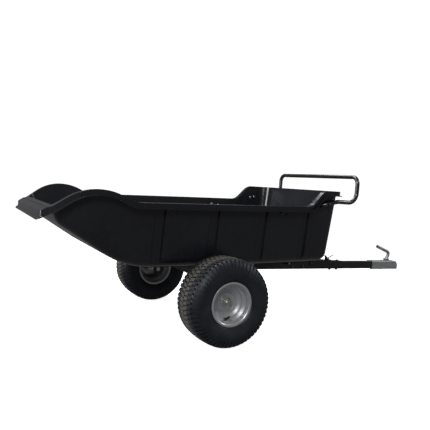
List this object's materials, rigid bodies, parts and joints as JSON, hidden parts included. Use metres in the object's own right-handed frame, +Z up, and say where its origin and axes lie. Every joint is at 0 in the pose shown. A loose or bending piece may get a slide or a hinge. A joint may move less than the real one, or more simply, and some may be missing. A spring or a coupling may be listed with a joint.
{
  "type": "tow behind dump cart",
  "caption": "Two-wheeled tow-behind dump cart: a moulded tub with a sloped pour lip tips on a steel chassis, with a bent-tube handle, a dump latch and a lever ball coupler.",
  "frame": {"origin": "middle of the footprint, on the ground under the tyres", "axes": "+X forward to the hitch, +Y to the cart's left, +Z up"},
  "size_m": [2.717, 1.2762, 0.9461],
  "materials": {
    "tub_plastic": "satin moulded black polyethylene with a fine grain",
    "frame_paint": "semi-gloss black powder coat",
    "handle_paint": "gloss black powder coat",
    "rim_paint": "silver-grey sprayed paint",
    "tyre_rubber": "dull grey-black rubber",
    "black_rubber": "smooth black rubber",
    "blackened_steel": "black finished steel, worn bright at the corners",
    "zinc_plate": "bright zinc plate",
    "galvanised_steel": "dull zinc coat",
    "bright_steel": "turned steel",
    "spring_wire": "drawn spring wire",
    "black_nylon": "plain black nylon"
  },
  "bodies": {
    "chassis": {"main_beam": "frame_paint", "drawbar": "frame_paint", "joint_sleeve": "frame_paint", "joint_top_plate": "frame_paint", "joint_cross_bolts": "blackened_steel", "joint_through_bolts": "blackened_steel", "joint_nuts": "blackened_steel", "axle_beam": "frame_paint", "brace_left": "frame_paint", "brace_right": "frame_paint", "drop_plate_left": "frame_paint", "drop_plate_right": "frame_paint", "stub_axle_left": "bright_steel", "stub_axle_right": "bright_steel", "pivot_ears": "frame_paint", "pivot_rod": "bright_steel", "rod_cotters": "zinc_plate", "rest_pad": "black_rubber", "spindle_washers": "zinc_plate", "spindle_nuts": "zinc_plate", "spindle_cotters": "zinc_plate", "latch_bracket": "frame_paint", "latch_pin": "zinc_plate", "latch_spring": "spring_wire", "coupler_body": "galvanised_steel", "coupler_bolts": "zinc_plate", "coupler_nuts": "zinc_plate", "lever_pin": "zinc_plate", "clamp_pin": "zinc_plate", "clamp_spring": "spring_wire"},
    "tub": {"tub_shell": "tub_plastic", "cradle_rail_left": "frame_paint", "cradle_rail_right": "frame_paint", "cradle_cross_front": "frame_paint", "cradle_cross_mid": "frame_paint", "cradle_cross_rear": "frame_paint", "lock_tongue": "frame_paint", "tongue_bolts": "zinc_plate", "floor_bolts": "zinc_plate", "floor_nuts": "zinc_plate", "pivot_bushes": "black_nylon", "tip_handle": "handle_paint", "handle_end_plugs": "black_nylon", "handle_bolts": "blackened_steel", "side_bolts": "blackened_steel", "wall_nuts": "zinc_plate"},
    "wheel_left": {"tyre_left": "tyre_rubber", "rim_left": "rim_paint", "hub_left": "rim_paint", "bearings_left": "bright_steel", "valve_left": "black_rubber"},
    "wheel_right": {"tyre_right": "tyre_rubber", "rim_right": "rim_paint", "hub_right": "rim_paint", "bearings_right": "bright_steel", "valve_right": "black_rubber"},
    "latch": {"latch_lever": "frame_paint"},
    "lever": {"coupler_lever": "galvanised_steel"},
    "jaw": {"ball_clamp": "galvanised_steel"}
  },
  "joints": [
    {"name": "tub_tip", "type": "hinge", "parent": "chassis", "child": "tub", "pos_m": [-0.4615, 0, 0.36945], "axis": [0, -1, 0], "range_deg": [0, 35]},
    {"name": "wheel_left_spin", "type": "hinge", "parent": "chassis", "child": "wheel_left", "pos_m": [-0.4395, 0.53, 0.2285], "axis": [0, 1, 0], "continuous": true},
    {"name": "wheel_right_spin", "type": "hinge", "parent": "chassis", "child": "wheel_right", "pos_m": [-0.4395, -0.53, 0.2285], "axis": [0, 1, 0], "continuous": true},
    {"name": "latch_swing", "type": "hinge", "parent": "chassis", "child": "latch", "pos_m": [0.6725, 0, 0.366], "axis": [0, 1, 0], "range_deg": [-55, 0]},
    {"name": "coupler_lever_swing", "type": "hinge", "parent": "chassis", "child": "lever", "pos_m": [1.2505, 0, 0.3623], "axis": [0, 1, 0], "range_deg": [0, 60]},
    {"name": "jaw_swing", "type": "hinge", "parent": "chassis", "child": "jaw", "pos_m": [1.2685, 0, 0.336], "axis": [0, 1, 0], "range_deg": [0, 12]}
  ],
  "couplings": [
    {"joint": "jaw_swing", "follows": "coupler_lever_swing", "ratio": 0.2}
  ]
}
